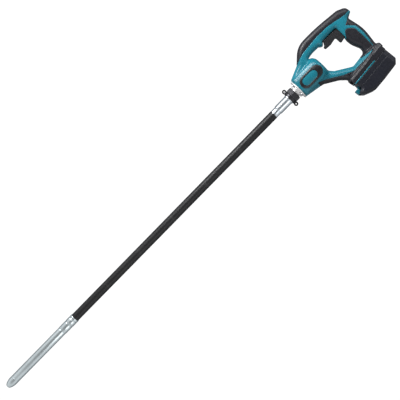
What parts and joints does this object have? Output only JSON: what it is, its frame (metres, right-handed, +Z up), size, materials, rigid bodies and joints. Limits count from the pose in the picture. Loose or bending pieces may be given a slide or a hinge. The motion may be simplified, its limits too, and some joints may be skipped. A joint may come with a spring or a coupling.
{
  "type": "concrete vibrator",
  "caption": "Cordless concrete vibrator: motor in a D-shaped handle with slide-on battery, rubber hose with a flexible shaft, and a slim steel vibrating head.",
  "frame": {"origin": "on the tool axis, midway between the two strap eyes of the hanger ring", "axes": "+Z up the tool axis from the head to the handle, +X towards the battery, +Y towards the lock-on button"},
  "size_m": [0.2216, 0.075, 1.3535],
  "materials": {
    "teal_plastic": "moulded, fine satin texture",
    "grip_rubber": "soft overmould, matt",
    "badge_plastic": "semi-gloss moulded",
    "black_plastic": "moulded, matt",
    "battery_plastic": "moulded, fine spark texture",
    "cast_alloy": "machined die casting",
    "dark_steel": "black oxide",
    "bright_steel": "turned and plated",
    "head_steel": "ground steel",
    "screw_steel": "zinc plated",
    "motor_steel": "plain steel",
    "magnet": "ferrite",
    "copper": "copper",
    "brass": "plain brass",
    "carbon": "graphite",
    "hose_rubber": "extruded rubber",
    "core_steel": "wound wire",
    "cell_wrap": "shrink film",
    "board": "lacquered board",
    "wire_cover": "insulation",
    "seal_rubber": "nitrile"
  },
  "bodies": {
    "housing": {"housing_left": "teal_plastic", "housing_right": "teal_plastic", "grip_rubber_left": "grip_rubber", "grip_rubber_right": "grip_rubber", "badge_bezels": "badge_plastic", "housing_screws": "screw_steel", "nose_flange": "cast_alloy", "nose_screws": "screw_steel", "joint_nut": "dark_steel", "strap_hanger": "dark_steel", "hose_sleeve": "bright_steel", "hose_top": "hose_rubber", "motor_bearings": "screw_steel", "motor_yoke": "motor_steel", "motor_magnets": "magnet", "brush_holder": "brass", "carbon_brushes": "carbon", "brush_springs": "screw_steel", "trigger_pin": "screw_steel", "trigger_spring": "screw_steel", "switch_body": "black_plastic", "terminal_block": "black_plastic", "terminal_blades": "brass", "wiring": "wire_cover"},
    "armature": {"motor_shaft": "screw_steel", "armature_core": "motor_steel", "armature_windings": "copper", "commutator": "copper", "cooling_fan": "black_plastic", "drive_coupling": "screw_steel", "flex_core_top": "core_steel"},
    "trigger_lever": {"trigger": "black_plastic"},
    "plunger": {"switch_plunger": "wire_cover"},
    "lock": {"lock_button": "black_plastic"},
    "battery": {"battery_case_lower": "battery_plastic", "battery_case_upper": "battery_plastic", "battery_cells": "cell_wrap", "battery_terminals": "brass", "battery_circuit_board": "board", "battery_screws": "screw_steel"},
    "release_button": {"battery_button": "teal_plastic"},
    "hose_1": {"hose_1": "hose_rubber"},
    "core_1": {"flex_core_1": "core_steel"},
    "hose_2": {"hose_2": "hose_rubber"},
    "core_2": {"flex_core_2": "core_steel"},
    "hose_3": {"hose_3": "hose_rubber"},
    "core_3": {"flex_core_3": "core_steel"},
    "hose_4": {"hose_4": "hose_rubber"},
    "core_4": {"flex_core_4": "core_steel"},
    "hose_5": {"hose_5": "hose_rubber"},
    "core_5": {"flex_core_5": "core_steel"},
    "head": {"hose_bottom": "hose_rubber", "head_joint": "head_steel", "oil_seal": "seal_rubber", "head_case": "head_steel", "head_tip": "head_steel", "head_bearings": "screw_steel"},
    "rotor": {"flex_core_bottom": "core_steel", "eccentric_rotor": "motor_steel"}
  },
  "joints": [
    {"name": "motor_spin", "type": "hinge", "parent": "housing", "child": "armature", "pos_m": [0, 0, 0.07], "axis": [0, 0, 1], "continuous": true},
    {"name": "trigger_pull", "type": "hinge", "parent": "housing", "child": "trigger_lever", "pos_m": [-0.045, 0, 0.163], "axis": [0, -1, 0], "range_deg": [0, 8], "stiffness_Nm_per_rad": 0.3},
    {"name": "switch_travel", "type": "slide", "parent": "housing", "child": "plunger", "axis": [-1, 0, 0], "range_m": [0, 0.005]},
    {"name": "lock_press", "type": "slide", "parent": "housing", "child": "lock", "axis": [0, -1, 0], "range_m": [0, 0.003]},
    {"name": "battery_slide", "type": "slide", "parent": "housing", "child": "battery", "axis": [0.0872, 0, -0.9962], "range_m": [0, 0.125], "stiffness_N_per_m": 20, "springref_m": -0.6},
    {"name": "release_press", "type": "slide", "parent": "battery", "child": "release_button", "axis": [0.9962, 0, 0.0872], "range_m": [0, 0.004]},
    {"name": "hose_bend_y_1", "type": "hinge", "parent": "housing", "child": "hose_1", "pos_m": [0, 0, -0.12333], "axis": [0, 1, 0], "range_deg": [-15, 15]},
    {"name": "hose_bend_x_1", "type": "hinge", "parent": "hose_1", "child": "hose_2", "pos_m": [0, 0, -0.25], "axis": [1, 0, 0], "range_deg": [-15, 15]},
    {"name": "hose_bend_y_2", "type": "hinge", "parent": "hose_2", "child": "hose_3", "pos_m": [0, 0, -0.37667], "axis": [0, 1, 0], "range_deg": [-15, 15]},
    {"name": "hose_bend_x_2", "type": "hinge", "parent": "hose_3", "child": "hose_4", "pos_m": [0, 0, -0.50333], "axis": [1, 0, 0], "range_deg": [-15, 15]},
    {"name": "hose_bend_y_3", "type": "hinge", "parent": "hose_4", "child": "hose_5", "pos_m": [0, 0, -0.63], "axis": [0, 1, 0], "range_deg": [-15, 15]},
    {"name": "hose_bend_x_3", "type": "hinge", "parent": "hose_5", "child": "head", "pos_m": [0, 0, -0.75667], "axis": [1, 0, 0], "range_deg": [-15, 15]},
    {"name": "core_spin_1", "type": "hinge", "parent": "hose_1", "child": "core_1", "pos_m": [0, 0, -0.18667], "axis": [0, 0, 1], "continuous": true},
    {"name": "core_spin_2", "type": "hinge", "parent": "hose_2", "child": "core_2", "pos_m": [0, 0, -0.31333], "axis": [0, 0, 1], "continuous": true},
    {"name": "core_spin_3", "type": "hinge", "parent": "hose_3", "child": "core_3", "pos_m": [0, 0, -0.44], "axis": [0, 0, 1], "continuous": true},
    {"name": "core_spin_4", "type": "hinge", "parent": "hose_4", "child": "core_4", "pos_m": [0, 0, -0.56667], "axis": [0, 0, 1], "continuous": true},
    {"name": "core_spin_5", "type": "hinge", "parent": "hose_5", "child": "core_5", "pos_m": [0, 0, -0.69333], "axis": [0, 0, 1], "continuous": true},
    {"name": "rotor_spin", "type": "hinge", "parent": "head", "child": "rotor", "pos_m": [0, 0, -0.95], "axis": [0, 0, 1], "continuous": true}
  ],
  "couplings": [
    {"joint": "switch_travel", "follows": "trigger_pull", "m_per_rad": 0.034},
    {"joint": "hose_bend_y_2", "follows": "hose_bend_y_1", "ratio": 1},
    {"joint": "hose_bend_x_2", "follows": "hose_bend_x_1", "ratio": 1},
    {"joint": "hose_bend_y_3", "follows": "hose_bend_y_1", "ratio": 1},
    {"joint": "hose_bend_x_3", "follows": "hose_bend_x_1", "ratio": 1},
    {"joint": "core_spin_1", "follows": "motor_spin", "ratio": 1},
    {"joint": "core_spin_2", "follows": "motor_spin", "ratio": 1},
    {"joint": "core_spin_3", "follows": "motor_spin", "ratio": 1},
    {"joint": "core_spin_4", "follows": "motor_spin", "ratio": 1},
    {"joint": "core_spin_5", "follows": "motor_spin", "ratio": 1},
    {"joint": "rotor_spin", "follows": "motor_spin", "ratio": 1}
  ]
}
